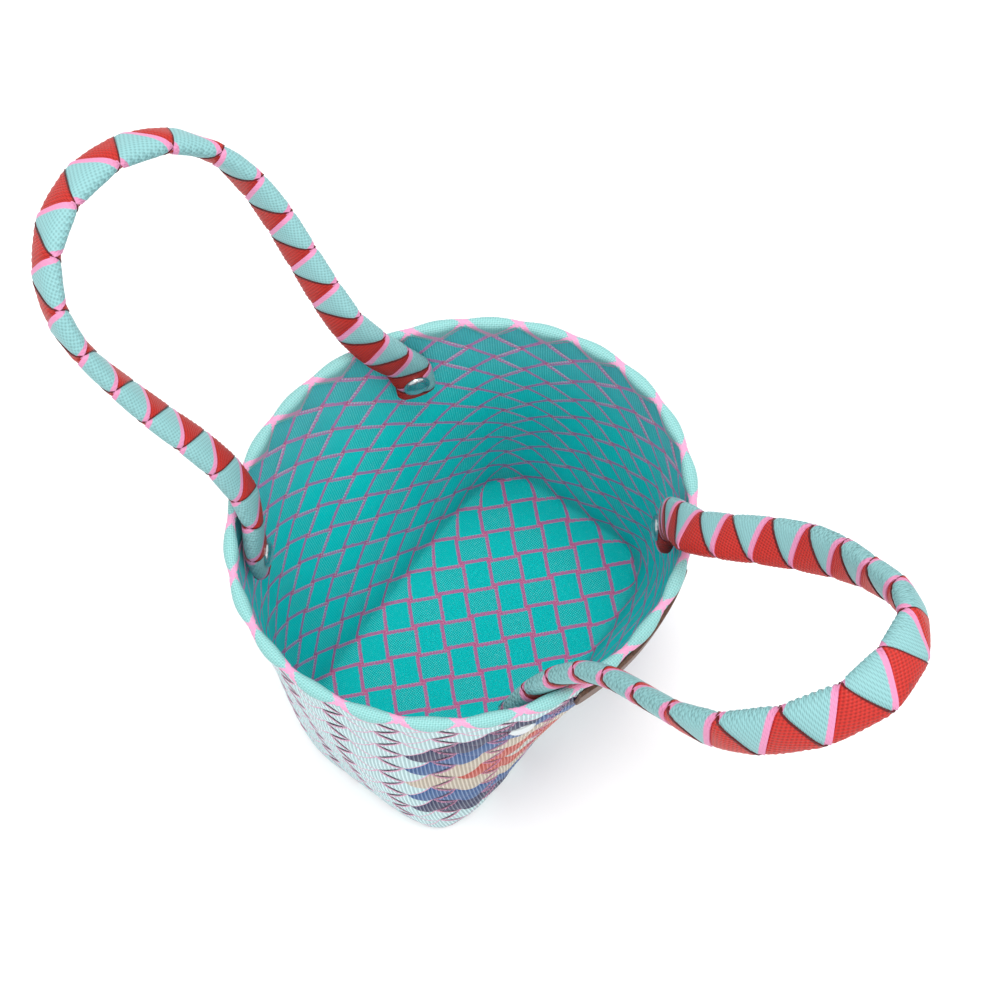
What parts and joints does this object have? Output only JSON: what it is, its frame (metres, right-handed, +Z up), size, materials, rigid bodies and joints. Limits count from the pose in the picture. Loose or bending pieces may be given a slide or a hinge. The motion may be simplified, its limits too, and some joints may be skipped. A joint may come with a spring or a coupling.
{
  "type": "woven tote bag",
  "caption": "Small open tote bag plaited on the bias from plastic strapping, with a folded rim, riveted wrapped handles and a leather patch.",
  "frame": {"origin": "middle of the underside of the floor, where the bag rests", "axes": "+Z up; +X along the long side of the base; the side with the leather patch faces -Y"},
  "size_m": [0.193, 0.3545, 0.3029],
  "materials": {
    "strapping": "semi-gloss woven strips, embossed, with thin pink edges",
    "folded_strapping": "semi-gloss folded strips, pale aqua with pink crossings",
    "wrapping": "red and pale aqua straps wound over each other",
    "nickel": "polished nickel plate",
    "leather": "smooth brown leather"
  },
  "bodies": {
    "root": {"basket": "strapping", "rim_fold": "folded_strapping", "handle_back": "wrapping", "handle_front": "wrapping", "rivet_back_right": "nickel", "rivet_back_left": "nickel", "rivet_front_right": "nickel", "rivet_front_left": "nickel", "label_patch": "leather"}
  },
  "joints": []
}
